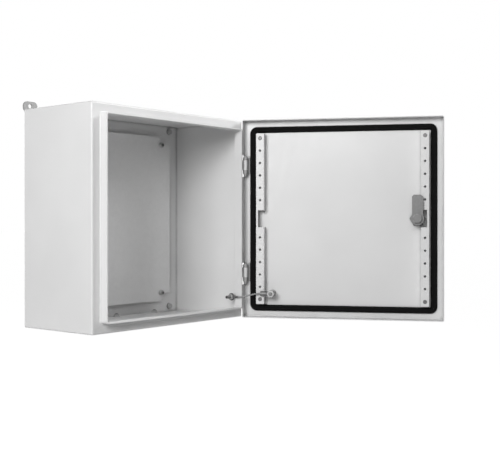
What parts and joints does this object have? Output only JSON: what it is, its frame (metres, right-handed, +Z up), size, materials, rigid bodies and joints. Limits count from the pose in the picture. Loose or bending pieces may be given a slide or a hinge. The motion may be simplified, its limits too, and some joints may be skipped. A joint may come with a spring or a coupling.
{
  "type": "steel wall enclosure",
  "caption": "Wall-hung sheet-steel enclosure with a side-hinged sealed door, cam lock, mounting plate, perforated door strips, gland plate and an earthed door.",
  "frame": {"origin": "on the wall behind the cabinet, midway between its two wall screws", "axes": "+X to the right seen from the front, +Y to the rear into the wall, +Z up; the cabinet's front faces -Y"},
  "size_m": [0.593, 0.5556, 0.415],
  "materials": {
    "painted_steel": "light grey powder coat, fine texture, satin",
    "galvanised_steel": "galvanised, soft spangle, matt",
    "zinc_plated_steel": "zinc plated, satin",
    "lock_zinc": "die-cast zinc and plated steel, satin grey",
    "foam_seal": "black foamed polyurethane, matt skin",
    "rubber": "black rubber, matt",
    "cable_sheath": "grey plastic sheath, satin"
  },
  "bodies": {
    "cabinet": {"cabinet_shell": "painted_steel", "rear_wall": "painted_steel", "gland_plate": "painted_steel", "gland_gasket": "rubber", "gland_plate_studs": "zinc_plated_steel", "gland_plate_nuts": "zinc_plated_steel", "mounting_plate": "galvanised_steel", "mounting_plate_studs": "zinc_plated_steel", "mounting_plate_nuts": "zinc_plated_steel", "wall_bracket_left": "galvanised_steel", "wall_bracket_right": "galvanised_steel", "corner_bolts": "zinc_plated_steel", "corner_bolt_seals": "rubber", "corner_bolt_nuts": "zinc_plated_steel", "hinge_cabinet_leaf_upper": "painted_steel", "hinge_cabinet_leaf_lower": "painted_steel", "hinge_pin_upper": "zinc_plated_steel", "hinge_pin_lower": "zinc_plated_steel", "hinge_screws": "zinc_plated_steel", "cabinet_earth_stud": "zinc_plated_steel", "cabinet_earth_nuts": "zinc_plated_steel", "cabinet_earth_lug": "zinc_plated_steel", "earth_cable": "cable_sheath"},
    "door": {"door_panel": "painted_steel", "door_seal": "foam_seal", "door_strip_hinge_side": "painted_steel", "door_strip_lock_side": "painted_steel", "door_strip_posts": "zinc_plated_steel", "door_strip_screws": "zinc_plated_steel", "hinge_door_leaf_upper": "painted_steel", "hinge_door_leaf_lower": "painted_steel", "lock_body": "lock_zinc", "lock_gasket": "rubber", "lock_nut": "lock_zinc", "door_earth_stud": "zinc_plated_steel", "door_earth_nuts": "zinc_plated_steel", "door_earth_lug": "zinc_plated_steel"},
    "lock": {"lock_insert": "lock_zinc", "lock_cam": "lock_zinc", "cam_washer": "zinc_plated_steel", "cam_bolt": "zinc_plated_steel"}
  },
  "joints": [
    {"name": "door_hinge", "type": "hinge", "parent": "cabinet", "child": "door", "pos_m": [0.1955, -0.201, -0.2065], "axis": [0, 0, 1], "range_deg": [-118, 12], "deforming": ["earth_cable"]},
    {"name": "lock_turn", "type": "hinge", "parent": "door", "child": "lock", "pos_m": [0.36809, -0.4994, -0.2065], "axis": [0.8829, 0.4695, 0], "range_deg": [0, 90]}
  ]
}
